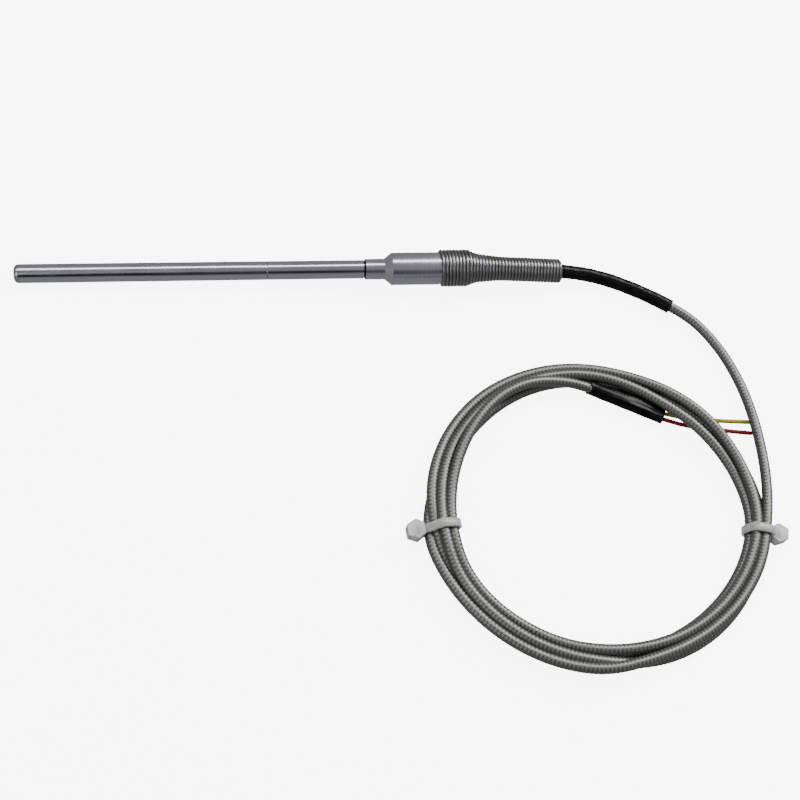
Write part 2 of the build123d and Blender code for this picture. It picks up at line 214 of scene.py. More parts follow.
# Ties, mm
TIE_ANGLES = {"right": -12.0, "left": 186.0}
COIL_HALF_LENGTH = 42.1  # to the middle of the bundle
COIL_HALF_WIDTH = 38.3
TIE_WIDTH = 2.3
TIE_THICKNESS = 0.8
TIE_HEAD_LENGTH = 4.4
TIE_HEAD_WIDTH = 5.2
TIE_HEAD_HEIGHT = 3.4
TIE_HEAD_SHOULDER = 1.2
TIE_HEAD_WAIST = 0.45  # where the head is widest, as a share of its length
TIE_HEAD_BEVEL = 0.18
TIE_EDGE = 0.22
TIE_GAP = 0.05
TIE_REACH = 12.0  # no turn is further from the band's middle
TAIL_WIDTH = 2.3
TAIL_THICKNESS = 1.0
TAIL_INSET = 1.3
TAIL_BELOW = 0.12
TAIL_ABOVE = 0.04
TAIL_BEVEL = 0.03
CIRCLE_POINTS = 48  # round each turn of the lead that a band holds
OUTLINE_POINTS = 120
OUTLINE_ROUNDS = 3  # of smoothing
# Bevelled faces come in an order that varies between runs, so a tie's faces are sorted along this way
FACE_ORDER = Vector((1.0, 0.317, 0.0719))

# Stage, in metres and watts
FLOOR_HALF = 20.0
FLOOR_DROP = 0.00002
FLOOR_GLOW = 7.0
DARK_SIDE = (-0.10, -0.845, 0.525)
ROOM_COLOR = (0.97, 0.97, 1.0)
DARK_COLOR = (0.05, 0.05, 0.06)
ROOM_STRENGTH = 0.38
LIT_POINT = (0.02, -0.04, 0.0)
# Each light's place, size and power
KEY_LIGHT = ((0.75, 0.45, 0.75), (0.5, 0.5), 12.0)
TOP_LIGHT = ((-0.05, 0.42, 1.05), (1.6, 0.2), 9.0)
FILL_LIGHT = ((-0.6, -0.5, 0.6), (0.6, 0.6), 2.0)
FILL_COLOR = (0.9, 0.95, 1.0)


# Camera -------------------------------------------------------------------------------------------


def on_surface(x, y, height):
    """A point given by its height above the surface, in metres."""
    return Vector((x, y, SURFACE + height)) * MM


def make_camera():
    place = on_surface(*CAMERA_PLACE)
    forward = (on_surface(*CAMERA_TARGET) - place).normalized()
    level = forward.cross(Vector((0, 0, 1))).normalized()
    above = level.cross(forward)
    roll = radians(CAMERA_ROLL)
    right = cos(roll) * level + sin(roll) * above
    up = cos(roll) * above - sin(roll) * level
    camera = bpy.data.objects.new("camera", bpy.data.cameras.new("camera"))
    camera.matrix_world = Matrix.Translation(place) @ Matrix((right, up, -forward)).transposed().to_4x4()
    camera.data.lens = CAMERA_LENS
    camera.data.sensor_width = SENSOR_WIDTH
    bpy.context.scene.collection.objects.link(camera)
    bpy.context.scene.camera = camera


# Lines --------------------------------------------------------------------------------------------


def smooth_line(points):
    """Points, in mm, along the smooth curve whose control points are given in metres."""
    curve = bpy.data.curves.new("route", "CURVE")
    curve.dimensions = "3D"
    curve.resolution_u = 16
    spline = curve.splines.new("NURBS")
    spline.points.add(len(points) - 1)
    for control, point in zip(spline.points, points):
        control.co = (*point, 1.0)
    spline.order_u = 3
    spline.use_endpoint_u = True
    holder = bpy.data.objects.new("route", curve)
    mesh = bpy.data.meshes.new_from_object(holder)
    line = np.array([vertex.co for vertex in mesh.vertices]) / MM
    bpy.data.objects.remove(holder)
    bpy.data.meshes.remove(mesh)
    bpy.data.curves.remove(curve)
    return line


def distances(line):
    """How far along the line each of its points is."""
    steps = np.linalg.norm(np.diff(line, axis=0), axis=1)
    return np.concatenate([[0.0], np.cumsum(steps)])


def at_distances(line, wanted):
    """Points of the line at these distances along it."""
    known = distances(line)
    return np.stack([np.interp(wanted, known, line[:, axis]) for axis in range(3)], axis=1)


def evenly(line, step, start=0.0, end=None):
    """Distances along the line a step apart, and the points there."""
    total = distances(line)[-1]
    end = total if end is None else end
    wanted = np.linspace(start, end, max(2, int(round((end - start) / step)) + 1))
    return wanted, at_distances(line, wanted)


def unit(vectors):
    return vectors / np.linalg.norm(vectors, axis=1)[:, None]


def level_frames(centres):
    """Across and upward directions along a line that is never steep."""
    along = unit(np.gradient(centres, axis=0))
    across = unit(np.cross(along, np.array([0.0, 0.0, 1.0])))
    return across, np.cross(across, along)


def nearest_distance(line, x, y):
    """How far along the line its nearest point to x, y is."""
    gaps = np.hypot(line[:, 0] - x, line[:, 1] - y)
    return distances(line)[np.argmin(gaps)]


# Meshes -------------------------------------------------------------------------------------------


def add_object(name, mesh):
    piece = bpy.data.objects.new(name, mesh)
    bpy.context.scene.collection.objects.link(piece)
    return piece


def full_turn(count):
    """Even angles round a circle, in radians."""
    return np.arange(count) / count * 2 * pi


def swell(turns, middle, width):
    """A soft ridge, 1 at the middle and about a third at a width from it."""
    return np.exp(-(((turns - middle) / width) ** 2))


def shade_smooth(mesh):
    mesh.polygons.foreach_set("use_smooth", [True] * len(mesh.polygons))


def tube(name, centres, across, upward, radii, lengths):
    """A closed tube through rings given in mm.

    Its UV map holds the length along it, in mm, and the turn round it, from 0 to 1.
    """
    rings, sides = radii.shape
    turns = full_turn(sides)
    out = np.cos(turns)[None, :, None] * across[:, None, :]
    out = out + np.sin(turns)[None, :, None] * upward[:, None, :]
    points = (centres[:, None, :] + radii[:, :, None] * out) * MM
    ring = np.arange(rings - 1)[:, None] * sides
    here = np.arange(sides)[None, :]
    after = (here + 1) % sides
    quads = np.stack([ring + here, ring + after, ring + sides + after, ring + sides + here], axis=2)
    quads = quads.reshape(-1, 4)
    caps = [list(range(sides))[::-1], list(range((rings - 1) * sides, rings * sides))]
    mesh = bpy.data.meshes.new(name)
    mesh.from_pydata(points.reshape(-1, 3).tolist(), [], quads.tolist() + caps)
    along = np.repeat(lengths[:, None], sides, axis=1)
    turn = np.repeat((np.arange(sides) / sides)[None, :], rings, axis=0)
    u = np.stack([along[:-1], along[:-1], along[1:], along[1:]], axis=2).reshape(-1)
    v = np.stack([turn[:-1], turn[:-1] + 1 / sides, turn[1:] + 1 / sides, turn[1:]], axis=2).reshape(-1)
    uv = np.zeros((len(mesh.loops), 2))
    uv[: len(u), 0] = u
    uv[: len(v), 1] = v
    mesh.uv_layers.new(name="weave").data.foreach_set("uv", uv.reshape(-1))
    shade_smooth(mesh)
    return add_object(name, mesh)


def with_cut_ends(centres, radii, wall, depth):
    """Adds a wall's thickness and a short hollow at both ends of a sleeve's rings."""
    start_dir = unit((centres[1] - centres[0])[None])[0]
    end_dir = unit((centres[-2] - centres[-1])[None])[0]
    inner_start = radii[0] - wall
    inner_end = radii[-1] - wall
    start = centres[0] + start_dir * depth
    end = centres[-1] + end_dir * depth
    new_centres = np.vstack([start, centres[0], centres, centres[-1], end])
    new_radii = np.vstack([inner_start, inner_start, radii, inner_end, inner_end])
    return new_centres, new_radii


def padded_frames(directions):
    """Repeats the first and the last directions for the rings that with_cut_ends adds."""
    return np.vstack([directions[0], directions[0], directions, directions[-1], directions[-1]])


# Materials ----------------------------------------------------------------------------------------

NOISE_ROUGHNESS = 0.55


def new_material(name, color, metallic=0.0, roughness=0.5, **others):
    """A principled material. Each of others is a socket's name with _ for a space."""
    material = bpy.data.materials.new(name)
    material.use_nodes = True
    shader = material.node_tree.nodes["Principled BSDF"]
    shader.inputs["Base Color"].default_value = (*color, 1.0)
    shader.inputs["Metallic"].default_value = metallic
    shader.inputs["Roughness"].default_value = roughness
    for key, value in others.items():
        shader.inputs[key.replace("_", " ")].default_value = value
    return material, material.node_tree, shader


def connect(tree, value, socket):
    if isinstance(value, bpy.types.NodeSocket):
        tree.links.new(value, socket)
    else:
        socket.default_value = value


def calculate(tree, operation, first, second=0.0, third=0.0):
    node = tree.nodes.new("ShaderNodeMath")
    node.operation = operation
    for value, socket in zip((first, second, third), node.inputs):
        connect(tree, value, socket)
    return node.outputs[0]


def coordinates(tree, scale=(1, 1, 1)):
    """Object coordinates, stretched by a scale for each axis."""
    source = tree.nodes.new("ShaderNodeTexCoord")
    mapping = tree.nodes.new("ShaderNodeMapping")
    mapping.inputs["Scale"].default_value = scale
    tree.links.new(source.outputs["Object"], mapping.inputs["Vector"])
    return mapping.outputs["Vector"]


def weave_coordinates(tree):
    """Length along the piece, mm, and turn round it, from 0 to 1."""
    source = tree.nodes.new("ShaderNodeUVMap")
    source.uv_map = "weave"
    parts = tree.nodes.new("ShaderNodeSeparateXYZ")
    tree.links.new(source.outputs["UV"], parts.inputs["Vector"])
    return parts.outputs["X"], parts.outputs["Y"]


def noise(tree, vector, scale, detail):
    node = tree.nodes.new("ShaderNodeTexNoise")
    node.inputs["Scale"].default_value = scale
    node.inputs["Detail"].default_value = detail
    node.inputs["Roughness"].default_value = NOISE_ROUGHNESS
    tree.links.new(vector, node.inputs["Vector"])
    return node.outputs["Fac"]


def ramp(tree, value, stops):
    """A colour ramp. Each stop is a position and a grey level or a colour."""
    node = tree.nodes.new("ShaderNodeValToRGB")
    elements = node.color_ramp.elements
    while len(elements) < len(stops):
        elements.new(0.5)
    for element, (position, color) in zip(elements, stops):
        element.position = position
        element.color = (*color, 1.0) if isinstance(color, tuple) else (color, color, color, 1.0)
    tree.links.new(value, node.inputs["Fac"])
    return node.outputs["Color"]


def bump(tree, shader, height, strength, distance):
    node = tree.nodes.new("ShaderNodeBump")
    node.inputs["Strength"].default_value = strength
    node.inputs["Distance"].default_value = distance
    tree.links.new(height, node.inputs["Height"])
    tree.links.new(node.outputs["Normal"], shader.inputs["Normal"])


def in_band(tree, value, middle, half):
    """1 where the value is within half of middle, and 0 elsewhere."""
    gap = calculate(tree, "ABSOLUTE", calculate(tree, "SUBTRACT", value, middle))
    return calculate(tree, "LESS_THAN", gap, half)


def ring_shade(tree):
    """How bright the steel is: darker in the scribed ring, and painted shade in the groove before the neck.
    """
    parts = tree.nodes.new("ShaderNodeSeparateXYZ")
    tree.links.new(coordinates(tree), parts.inputs["Vector"])
    along = parts.outputs["X"]
    in_mark = in_band(tree, along, MARK_MIDDLE * MM, MARK_WIDTH / 2 * MM)
    in_groove = in_band(tree, along, GROOVE_MIDDLE * MM, GROOVE_WIDTH / 2 * MM)
    mark = calculate(tree, "MULTIPLY", in_mark, MARK_SHADE)
    # painted shade in the groove's recess
    groove = calculate(tree, "MULTIPLY", in_groove, GROOVE_PAINTED_SHADE)
    return calculate(tree, "SUBTRACT", 1.0, calculate(tree, "ADD", mark, groove))


def polished_steel(name, grain_scale, color=(0.50, 0.50, 0.52), roughness=(0.13, 0.3)):
    """Bright steel with fine marks. grain_scale stretches the marks along one axis."""
    material, tree, shader = new_material(name, color, metallic=1.0)
    grain = noise(tree, coordinates(tree, grain_scale), scale=1.0, detail=6.0)
    clouds = noise(tree, coordinates(tree), scale=90.0, detail=3.0)
    mixed = calculate(tree, "MULTIPLY_ADD", grain, 0.6, calculate(tree, "MULTIPLY", clouds, 0.4))
    low, high = roughness
    tree.links.new(ramp(tree, mixed, [(0.35, low), (0.7, high)]), shader.inputs["Roughness"])
    dim = tuple(channel * 0.86 for channel in color)
    shaded = tree.nodes.new("ShaderNodeVectorMath")
    shaded.operation = "SCALE"
    tree.links.new(ramp(tree, mixed, [(0.3, dim), (0.65, color)]), shaded.inputs[0])
    tree.links.new(ring_shade(tree), shaded.inputs["Scale"])
    tree.links.new(shaded.outputs["Vector"], shader.inputs["Base Color"])
    bump(tree, shader, grain, strength=0.12, distance=0.00003)
    return material


def braid_steel():
    """Woven steel wire: flat plaits of fine wires, one over and one under. Its colour is painted shade,
    darker in the gaps between plaits and wires and lighter on the crowns, with random grain.
    """
    material, tree, shader = new_material("braid_steel", (0.3, 0.3, 0.29), metallic=0.75, roughness=0.42)
    along, turn = weave_coordinates(tree)
    strands = calculate(tree, "MULTIPLY", turn, float(BRAID_STRANDS))
    rows = calculate(tree, "DIVIDE", along, BRAID_PITCH)
    first = calculate(tree, "ADD", strands, rows)
    second = calculate(tree, "SUBTRACT", strands, rows)
    first_cell = calculate(tree, "FLOOR", first)
    second_cell = calculate(tree, "FLOOR", second)
    cells = calculate(tree, "ADD", first_cell, second_cell)
    phase = calculate(tree, "FLOORED_MODULO", cells, 2.0)
    first_on_top = calculate(tree, "LESS_THAN", phase, 0.5)
    first_part = calculate(tree, "SUBTRACT", first, first_cell)
    second_part = calculate(tree, "SUBTRACT", second, second_cell)
    difference = calculate(tree, "SUBTRACT", first_part, second_part)
    across = calculate(tree, "MULTIPLY_ADD", difference, first_on_top, second_part)
    both = calculate(tree, "ADD", first_part, second_part)
    lengthwise = calculate(tree, "SUBTRACT", both, across)
    across_dome = calculate(tree, "SINE", calculate(tree, "MULTIPLY", across, pi))
    lengthwise_dome = calculate(tree, "SINE", calculate(tree, "MULTIPLY", lengthwise, pi))
    dome = calculate(tree, "SQRT", calculate(tree, "MULTIPLY", across_dome, lengthwise_dome))
    wires = calculate(tree, "SINE", calculate(tree, "MULTIPLY", across, 2 * pi * WIRES_IN_STRAND))
    fine = noise(tree, coordinates(tree), scale=2500.0, detail=2.0)
    clouds = noise(tree, coordinates(tree), scale=60.0, detail=2.0)
    height = calculate(tree, "MULTIPLY_ADD", wires, 0.10, dome)
    # painted shade: the colour darkens into the gaps between plaits and between wires and is lighter on the
    # crowns; the noise adds random grain
    shade = calculate(tree, "MULTIPLY_ADD", wires, 0.10, dome)
    shade = calculate(tree, "MULTIPLY_ADD", fine, 0.35, shade)
    shade = calculate(tree, "MULTIPLY_ADD", clouds, 0.2, shade)
    stops = [(0.40, (0.075, 0.075, 0.072)), (0.8, (0.13, 0.13, 0.12)), (1.3, (0.185, 0.185, 0.17))]
    tree.links.new(ramp(tree, shade, stops), shader.inputs["Base Color"])
    bump(tree, shader, height, strength=0.3, distance=0.0001)
    return material


def spring_steel():
    material, tree, shader = new_material("spring_steel", (0.3, 0.3, 0.3), metallic=1.0, roughness=0.3)
    along, turn = weave_coordinates(tree)
    parts = tree.nodes.new("ShaderNodeCombineXYZ")
    connect(tree, calculate(tree, "MULTIPLY", along, 0.6), parts.inputs["X"])
    connect(tree, calculate(tree, "MULTIPLY", turn, 18.0), parts.inputs["Y"])
    lines = noise(tree, parts.outputs["Vector"], scale=1.0, detail=4.0)
    clouds = noise(tree, coordinates(tree), scale=350.0, detail=3.0)
    mixed = calculate(tree, "MULTIPLY_ADD", lines, 0.5, calculate(tree, "MULTIPLY", clouds, 0.5))
    tree.links.new(ramp(tree, mixed, [(0.3, 0.16), (0.7, 0.30)]), shader.inputs["Base Color"])
    tree.links.new(ramp(tree, mixed, [(0.3, 0.24), (0.7, 0.40)]), shader.inputs["Roughness"])
    bump(tree, shader, lines, strength=0.15, distance=0.00003)
    return material


def black_shrink():
    """Heat-shrink tube: smooth and black, with the braid just showing through."""
    material, tree, shader = new_material(
        "black_shrink", (0.006, 0.006, 0.007), roughness=0.3, Specular_IOR_Level=0.12
    )
    along, _ = weave_coordinates(tree)
    ribs = calculate(tree, "SINE", calculate(tree, "MULTIPLY", along, 2 * pi / BRAID_PITCH))
    skin = noise(tree, coordinates(tree), scale=420.0, detail=4.0)
    patches = noise(tree, coordinates(tree), scale=120.0, detail=2.0)
    tree.links.new(ramp(tree, patches, [(0.3, 0.20), (0.7, 0.34)]), shader.inputs["Roughness"])
    tree.links.new(ramp(tree, skin, [(0.3, 0.003), (0.75, 0.009)]), shader.inputs["Base Color"])
    height = calculate(tree, "MULTIPLY_ADD", ribs, 0.12, skin)
    bump(tree, shader, height, strength=0.25, distance=0.00015)
    return material


def natural_nylon():
    material, tree, shader = new_material(
        "natural_nylon",
        (0.52, 0.53, 0.54),
        roughness=0.34,
        Subsurface_Weight=0.35,
        Subsurface_Scale=0.0012,
        Transmission_Weight=0.25,
        IOR=1.5,
    )
    clouds = noise(tree, coordinates(tree), scale=500.0, detail=3.0)
    shades = [(0.3, (0.45, 0.455, 0.45)), (0.7, (0.55, 0.555, 0.55))]
    tree.links.new(ramp(tree, clouds, shades), shader.inputs["Base Color"])
    tree.links.new(ramp(tree, clouds, [(0.3, 0.28), (0.7, 0.42)]), shader.inputs["Roughness"])
    bump(tree, shader, clouds, strength=0.1, distance=0.0001)
    return material


def wire_sleeve(name, dark, light):
    """Woven glass thread over a wire, lacquered in one colour; the weave's low cells are painted darker as
    shade, with random tone.
    """
    material, tree, shader = new_material(name, light, roughness=0.6, Specular_IOR_Level=0.2)
    along, turn = weave_coordinates(tree)
    forth = calculate(tree, "MULTIPLY", along, THREADS_ALONG)
    back = calculate(tree, "MULTIPLY", along, -THREADS_ALONG)
    one_way = calculate(tree, "MULTIPLY_ADD", turn, THREADS_ROUND, forth)
    other_way = calculate(tree, "MULTIPLY_ADD", turn, THREADS_ROUND, back)
    first = calculate(tree, "SINE", calculate(tree, "MULTIPLY", one_way, 2 * pi))
    second = calculate(tree, "SINE", calculate(tree, "MULTIPLY", other_way, 2 * pi))
    threads = calculate(tree, "MULTIPLY", first, second)
    clouds = noise(tree, coordinates(tree), scale=700.0, detail=3.0)
    # painted shade: the weave's low cells are coloured darker, following the bump; the noise adds random
    # tone
    shade = calculate(tree, "MULTIPLY_ADD", threads, 0.25, clouds)
    tree.links.new(ramp(tree, shade, [(0.25, dark), (0.7, light)]), shader.inputs["Base Color"])
    bump(tree, shader, shade, strength=0.5, distance=0.0001)
    return material


def grainy(name, dark, light, scale, metallic=0.0, roughness=(0.6, 0.85)):
    """A plain material with fine grain, for the pieces inside."""
    material, tree, shader = new_material(name, light, metallic=metallic)
    grains = noise(tree, coordinates(tree), scale, detail=5.0)
    tree.links.new(ramp(tree, grains, [(0.3, dark), (0.7, light)]), shader.inputs["Base Color"])
    low, high = roughness
    tree.links.new(ramp(tree, grains, [(0.3, low), (0.7, high)]), shader.inputs["Roughness"])
    bump(tree, shader, grains, strength=0.2, distance=0.00008)
    return material


def bare_metal(name, dark, light, scale=900.0, roughness=(0.25, 0.45)):
    """Drawn wire or a pressed crimp."""
    return grainy(name, dark, light, scale, metallic=1.0, roughness=roughness)


def make_materials():
    return {
        "sheath": polished_steel("sheath_steel", (25, 1400, 1400)),
        "end": polished_steel("end_steel", (25, 1400, 1400), color=(0.40, 0.40, 0.42)),
        "sleeve": polished_steel("sleeve_steel", (5200, 60, 60), roughness=(0.20, 0.30)),
        "spring": spring_steel(),
        "braid": braid_steel(),
        "shrink": black_shrink(),
        "nylon": natural_nylon(),
        "yellow": wire_sleeve("yellow_sleeve", (0.22, 0.22, 0.01), (0.42, 0.42, 0.03)),
        "red": wire_sleeve("red_sleeve", (0.13, 0.004, 0.005), (0.30, 0.010, 0.014)),
        "element": bare_metal("element_alloy", (0.45, 0.43, 0.40), (0.66, 0.64, 0.60)),
        "element_dark": bare_metal(
            "element_alloy_dark", (0.30, 0.29, 0.28), (0.48, 0.47, 0.45), roughness=(0.3, 0.5)
        ),
        "brass": bare_metal("crimp_brass", (0.48, 0.34, 0.13), (0.72, 0.55, 0.26), scale=700.0),
        "ceramic": grainy("white_ceramic", (0.76, 0.73, 0.67), (0.90, 0.88, 0.83), scale=1500.0),
        "powder": grainy(
            "packed_powder", (0.70, 0.70, 0.68), (0.92, 0.92, 0.90), scale=3500.0, roughness=(0.8, 0.95)
        ),
        "potting": grainy("potting_cement", (0.55, 0.51, 0.44), (0.78, 0.74, 0.66), scale=1200.0),
    }


CAD_MATERIALS = {
    "sheath_tube": "sheath",
    "sheath_end_cap": "end",
    "transition_sleeve": "sleeve",
    "tip_filler": "powder",
    "hot_junction": "element",
    "sheath_seal": "potting",
    "sleeve_potting": "potting",
    "element_positive": "element",
    "element_negative": "element_dark",
    "splice_positive": "brass",
    "splice_negative": "brass",
    "front_conductor_positive": "element",
    "front_conductor_negative": "element_dark",
    "front_core_positive": "yellow",
    "front_core_negative": "red",
    "yellow_wire_conductor": "element",
    "red_wire_conductor": "element_dark",
}


def finish_cad_nodes(materials):
    """Gives every carried-over CAD node its material."""
    for name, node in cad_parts.items():
        key = "ceramic" if name.startswith("insulator_bead") else CAD_MATERIALS.get(name)
        if key:
            node.data.materials.clear()
            node.data.materials.append(materials[key])


def finish_piece(piece, material, slot, *replaced):
    """A visible piece's material, its slot in the record, which is not used, the nodes that it stands for
    and its body.
    """
    piece.data.materials.append(material)
    if replaced:
        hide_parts(*replaced)
    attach(piece, "root")
    return piece


# Lead ---------------------------------------------------------------------------------------------


def lift_at(angle):
    """How much higher the turns lie near the ties' bands."""
    lift = 0.0
    for tie_angle in TIE_ANGLES.values():
        gap = (angle - tie_angle + 180) % 360 - 180
        lift = max(lift, TIE_LIFT * np.exp(-((gap / TIE_LIFT_SPREAD) ** 2)))
    return lift


def settled(places, lowest):
    """Moves the turns that cross one angle apart until they rest on each other.

    Each place is a radius and a height.
    """
    places = places.copy()
    for _ in range(SETTLE_ROUNDS):
        for first, second in combinations(range(len(places)), 2):
            apart = places[second] - places[first]
            gap = np.linalg.norm(apart)
            push = apart / gap * max(0.0, SETTLE_GAP - gap) / 2
            places[first] -= push
            places[second] += push
        places[:, 1] = np.maximum(places[:, 1], lowest)
    return places


def coil_points():
    """Points of the lead round its coil, one each COIL_STEP degrees."""
    angles, radii, levels = [], [], []
    for turn in range(4):
        for angle, *strands in COIL_STATIONS:
            if strands[turn] is None:
                continue
            angles.append(360 * turn - angle)
            radii.append(strands[turn][0])
            levels.append(strands[turn][1])
    stations = np.arange(angles[0] + COIL_STEP, angles[-1] + 1, COIL_STEP)
    lift = np.array([lift_at(-turned) for turned in stations])
    heights = LEVEL_BASE + LEVEL_HEIGHT * np.interp(stations, angles, levels) + lift
    places = np.stack([np.interp(stations, angles, radii), heights], axis=1)
    for first in range(360 // COIL_STEP):
        same_angle = slice(first, None, 360 // COIL_STEP)
        places[same_angle] = settled(places[same_angle], LEVEL_BASE + lift[first])
    points = []
    for turned, (radius, height) in zip(stations, places):
        x = COIL_CENTRE[0] + radius * cos(radians(-turned))
        y = COIL_CENTRE[1] + radius * sin(radians(-turned))
        points.append(on_surface(x, y, height))
    return points


def lead_line():
    route = [on_surface(*point) for point in LEAD_ROUTE]
    ending = [on_surface(*point) for point in CABLE_END]
    return smooth_line(route + coil_points() + ending)


def braid_relief(along, turn):
    """Height of the woven plaits, from 0 in the gaps to 1 on the crowns."""
    first = BRAID_STRANDS * turn + along / BRAID_PITCH
    second = BRAID_STRANDS * turn - along / BRAID_PITCH
    first_on_top = np.mod(np.floor(first) + np.floor(second), 2) < 0.5
    across = np.where(first_on_top, np.mod(first, 1), np.mod(second, 1))
    lengthwise = np.where(first_on_top, np.mod(second, 1), np.mod(first, 1))
    return np.sin(pi * across) ** 0.6 * (0.35 + 0.65 * np.sin(pi * lengthwise) ** 0.6)


def braided_lead(line, material):
    """The whole lead, its woven plaits in relief."""
    lengths, centres = evenly(line, BRAID_STEP)
    across, upward = level_frames(centres)
    turns = np.arange(BRAID_SIDES) / BRAID_SIDES
    relief = braid_relief(lengths[:, None], turns[None, :])
    radii = CABLE_DIAMETER / 2 - BRAID_RELIEF * (1 - relief)
    piece = tube("braided_lead", centres, across, upward, radii, lengths)
    return finish_piece(piece, material, "steel_braid", "lead_cable", "lead_coil", "lead_cable_end")


def front_shrink(line, material):
    """Heat-shrink on the first part of the lead, with a flared cut end."""
    start = nearest_distance(line, *SHRINK_START)
    end = nearest_distance(line, *SHRINK_END)
    lengths, centres = evenly(line, SHRINK_STEP, start, end)
    across, upward = level_frames(centres)
    turns = full_turn(SHRINK_SIDES)
    from_end = end - lengths
    radii = np.full((len(lengths), SHRINK_SIDES), SHRINK_RADIUS)
    radii += (SHRINK_FLARE * np.exp(-from_end / SHRINK_FLARE_LENGTH))[:, None]
    radii += SHRINK_OVAL * np.sin(lengths * SHRINK_OVAL_WAVE)[:, None] * np.sin(turns * 2 + 0.6)[None, :]
    radii += SHRINK_WAVER * np.sin(lengths * SHRINK_WAVER_WAVE + 1.0)[:, None]
    centres, radii = with_cut_ends(centres, radii, SHRINK_WALL, SHRINK_HOLLOW)
    lengths = np.concatenate([[start, start], lengths, [end, end]])
    piece = tube("front_shrink_tube", centres, padded_frames(across), padded_frames(upward), radii, lengths)
    return finish_piece(piece, material, "black_shrink", "front_heat_shrink")


def rear_boot(material):
    """The boot, round over the cable and flat over the two wires, with soft lengthwise ridges.

    Its far side bulges where the shrunk tube spreads over the wires.
    """
    start = np.array(on_surface(*BOOT_START)) / MM
    end = np.array(on_surface(*BOOT_END)) / MM
    share = np.linspace(0, 1, BOOT_RINGS)
    centres = start + (end - start) * share[:, None]
    across, upward = level_frames(centres)
    turns = full_turn(BOOT_SIDES)[None, :]
    flat = (np.clip((share - BOOT_FLAT_START) / BOOT_FLAT_SHARE, 0, 1) ** 1.3)[:, None]
    half_width = BOOT_HALF + BOOT_WIDENING * flat
    half_height = BOOT_HALF - BOOT_FLATTENING * flat
    radii = 1 / np.sqrt((np.cos(turns) / half_width) ** 2 + (np.sin(turns) / half_height) ** 2)
    radii -= BOOT_FOLD * flat * swell(np.cos(turns), 0, 0.25)
    ridges = sum(size * swell(turns, middle, width) for middle, width, size in BOOT_RIDGES)
    radii += BOOT_RIDGE * np.sin(pi * np.clip(share * 1.1, 0, 1))[:, None] * ridges
    radii += BOOT_BULGE * np.sin(pi * share**1.8)[:, None] * swell(turns, *BOOT_BULGE_PLACE)
    radii += BOOT_LIP * np.exp(-share / 0.03)[:, None]
    radii += BOOT_WAVER * np.sin(share * 23)[:, None] * np.sin(turns * 3)
    centres, radii = with_cut_ends(centres, radii, BOOT_WALL, BOOT_HOLLOW)
    length = np.linalg.norm(end - start)
    lengths = np.concatenate([[0, 0], share * length, [length, length]])
    piece = tube("rear_shrink_boot", centres, padded_frames(across), padded_frames(upward), radii, lengths)
    return finish_piece(piece, material, "black_shrink", "rear_boot")


def wire_tail(name, route, material, slot, node):
    """One insulated wire, with the woven thread of its sleeve, and the line that it follows."""
    line = smooth_line([on_surface(*point) for point in route])
    lengths, centres = evenly(line, WIRE_STEP)
    across, upward = level_frames(centres)
    round_it = THREADS_ROUND * np.arange(WIRE_SIDES)[None, :] / WIRE_SIDES
    along_it = THREADS_ALONG * lengths[:, None]
    threads = np.sin(2 * pi * (round_it + along_it)) * np.sin(2 * pi * (round_it - along_it))
    radii = WIRE_DIAMETER / 2 - THREAD_RELIEF + THREAD_RELIEF * threads
    piece = tube(name, centres, across, upward, radii, lengths)
    finish_piece(piece, material, slot, node)
    return piece, line


# Spring -------------------------------------------------------------------------------------------


def smoothstep(values, start, end):
    share = np.clip((values - start) / (end - start), 0, 1)
    return share * share * (3 - 2 * share)


def spring_coil(material):
    """The close-wound wire, along an axis that droops a little more over each part."""
    wide = WIDE_TURNS * SPRING_PITCH
    taper = TAPER_TURNS * SPRING_PITCH
    total_turns = WIDE_TURNS + TAPER_TURNS + NARROW_TURNS
    steps = np.arange(total_turns * SPRING_STEPS + 1) / SPRING_STEPS
    run = steps * SPRING_PITCH
    slope = RISE_ANGLE - (RISE_ANGLE + TAPER_DROOP) * smoothstep(run, wide - WIDE_BEND, wide + WIDE_BEND)
    narrow = wide + taper
    slope -= (NARROW_DROOP - TAPER_DROOP) * smoothstep(run, narrow - NARROW_BEND, narrow + NARROW_BEND)
    angle = np.radians(slope)
    start = SLEEVE_LENGTH - wide
    forward = np.stack([np.cos(angle), 0 * angle, np.sin(angle)], axis=1)
    upright = np.stack([-np.sin(angle), 0 * angle, np.cos(angle)], axis=1)
    sideways = np.array([0.0, 1.0, 0.0])[None, :]
    steps_forward = (forward[1:] + forward[:-1]) / 2 * np.diff(run)[:, None]
    spine = np.cumsum(np.vstack([[0, 0, 0], steps_forward]), axis=0)
    spine += np.array([start * cos(radians(RISE_ANGLE)), 0, start * sin(radians(RISE_ANGLE))])
    radius = np.interp(run - wide, *zip(*TAPER))
    quick, slow = SPRING_WAVES
    radius -= SPRING_WAVER * (1 + np.sin(run * quick) * np.sin(run * slow))
    turned = 2 * pi * steps
    out = np.cos(turned)[:, None] * sideways + np.sin(turned)[:, None] * upright
    centres = spine + radius[:, None] * out
    along = unit(np.gradient(centres, axis=0))
    binormal = unit(np.cross(along, out))
    radii = np.full((len(steps), SPRING_SIDES), SPRING_WIRE / 2)
    for ring, tip_share in enumerate(SPRING_TIP):
        radii[[ring, -1 - ring]] *= tip_share
    piece = tube("spring_wire", centres, unit(out), binormal, radii, distances(centres))
    return finish_piece(piece, material, "spring_steel", "strain_relief_spring")


# Ties ---------------------------------------------------------------------------------------------


def tie_place(angle):
    """The band's middle over the coil's middle line, and the outward direction there."""
    x = COIL_CENTRE[0] + COIL_HALF_LENGTH * cos(radians(angle))
    y = COIL_CENTRE[1] + COIL_HALF_WIDTH * sin(radians(angle))
    outward = atan2(sin(radians(angle)) / COIL_HALF_WIDTH, cos(radians(angle)) / COIL_HALF_LENGTH)
    return np.array([x, y]), np.array([cos(outward), sin(outward)])


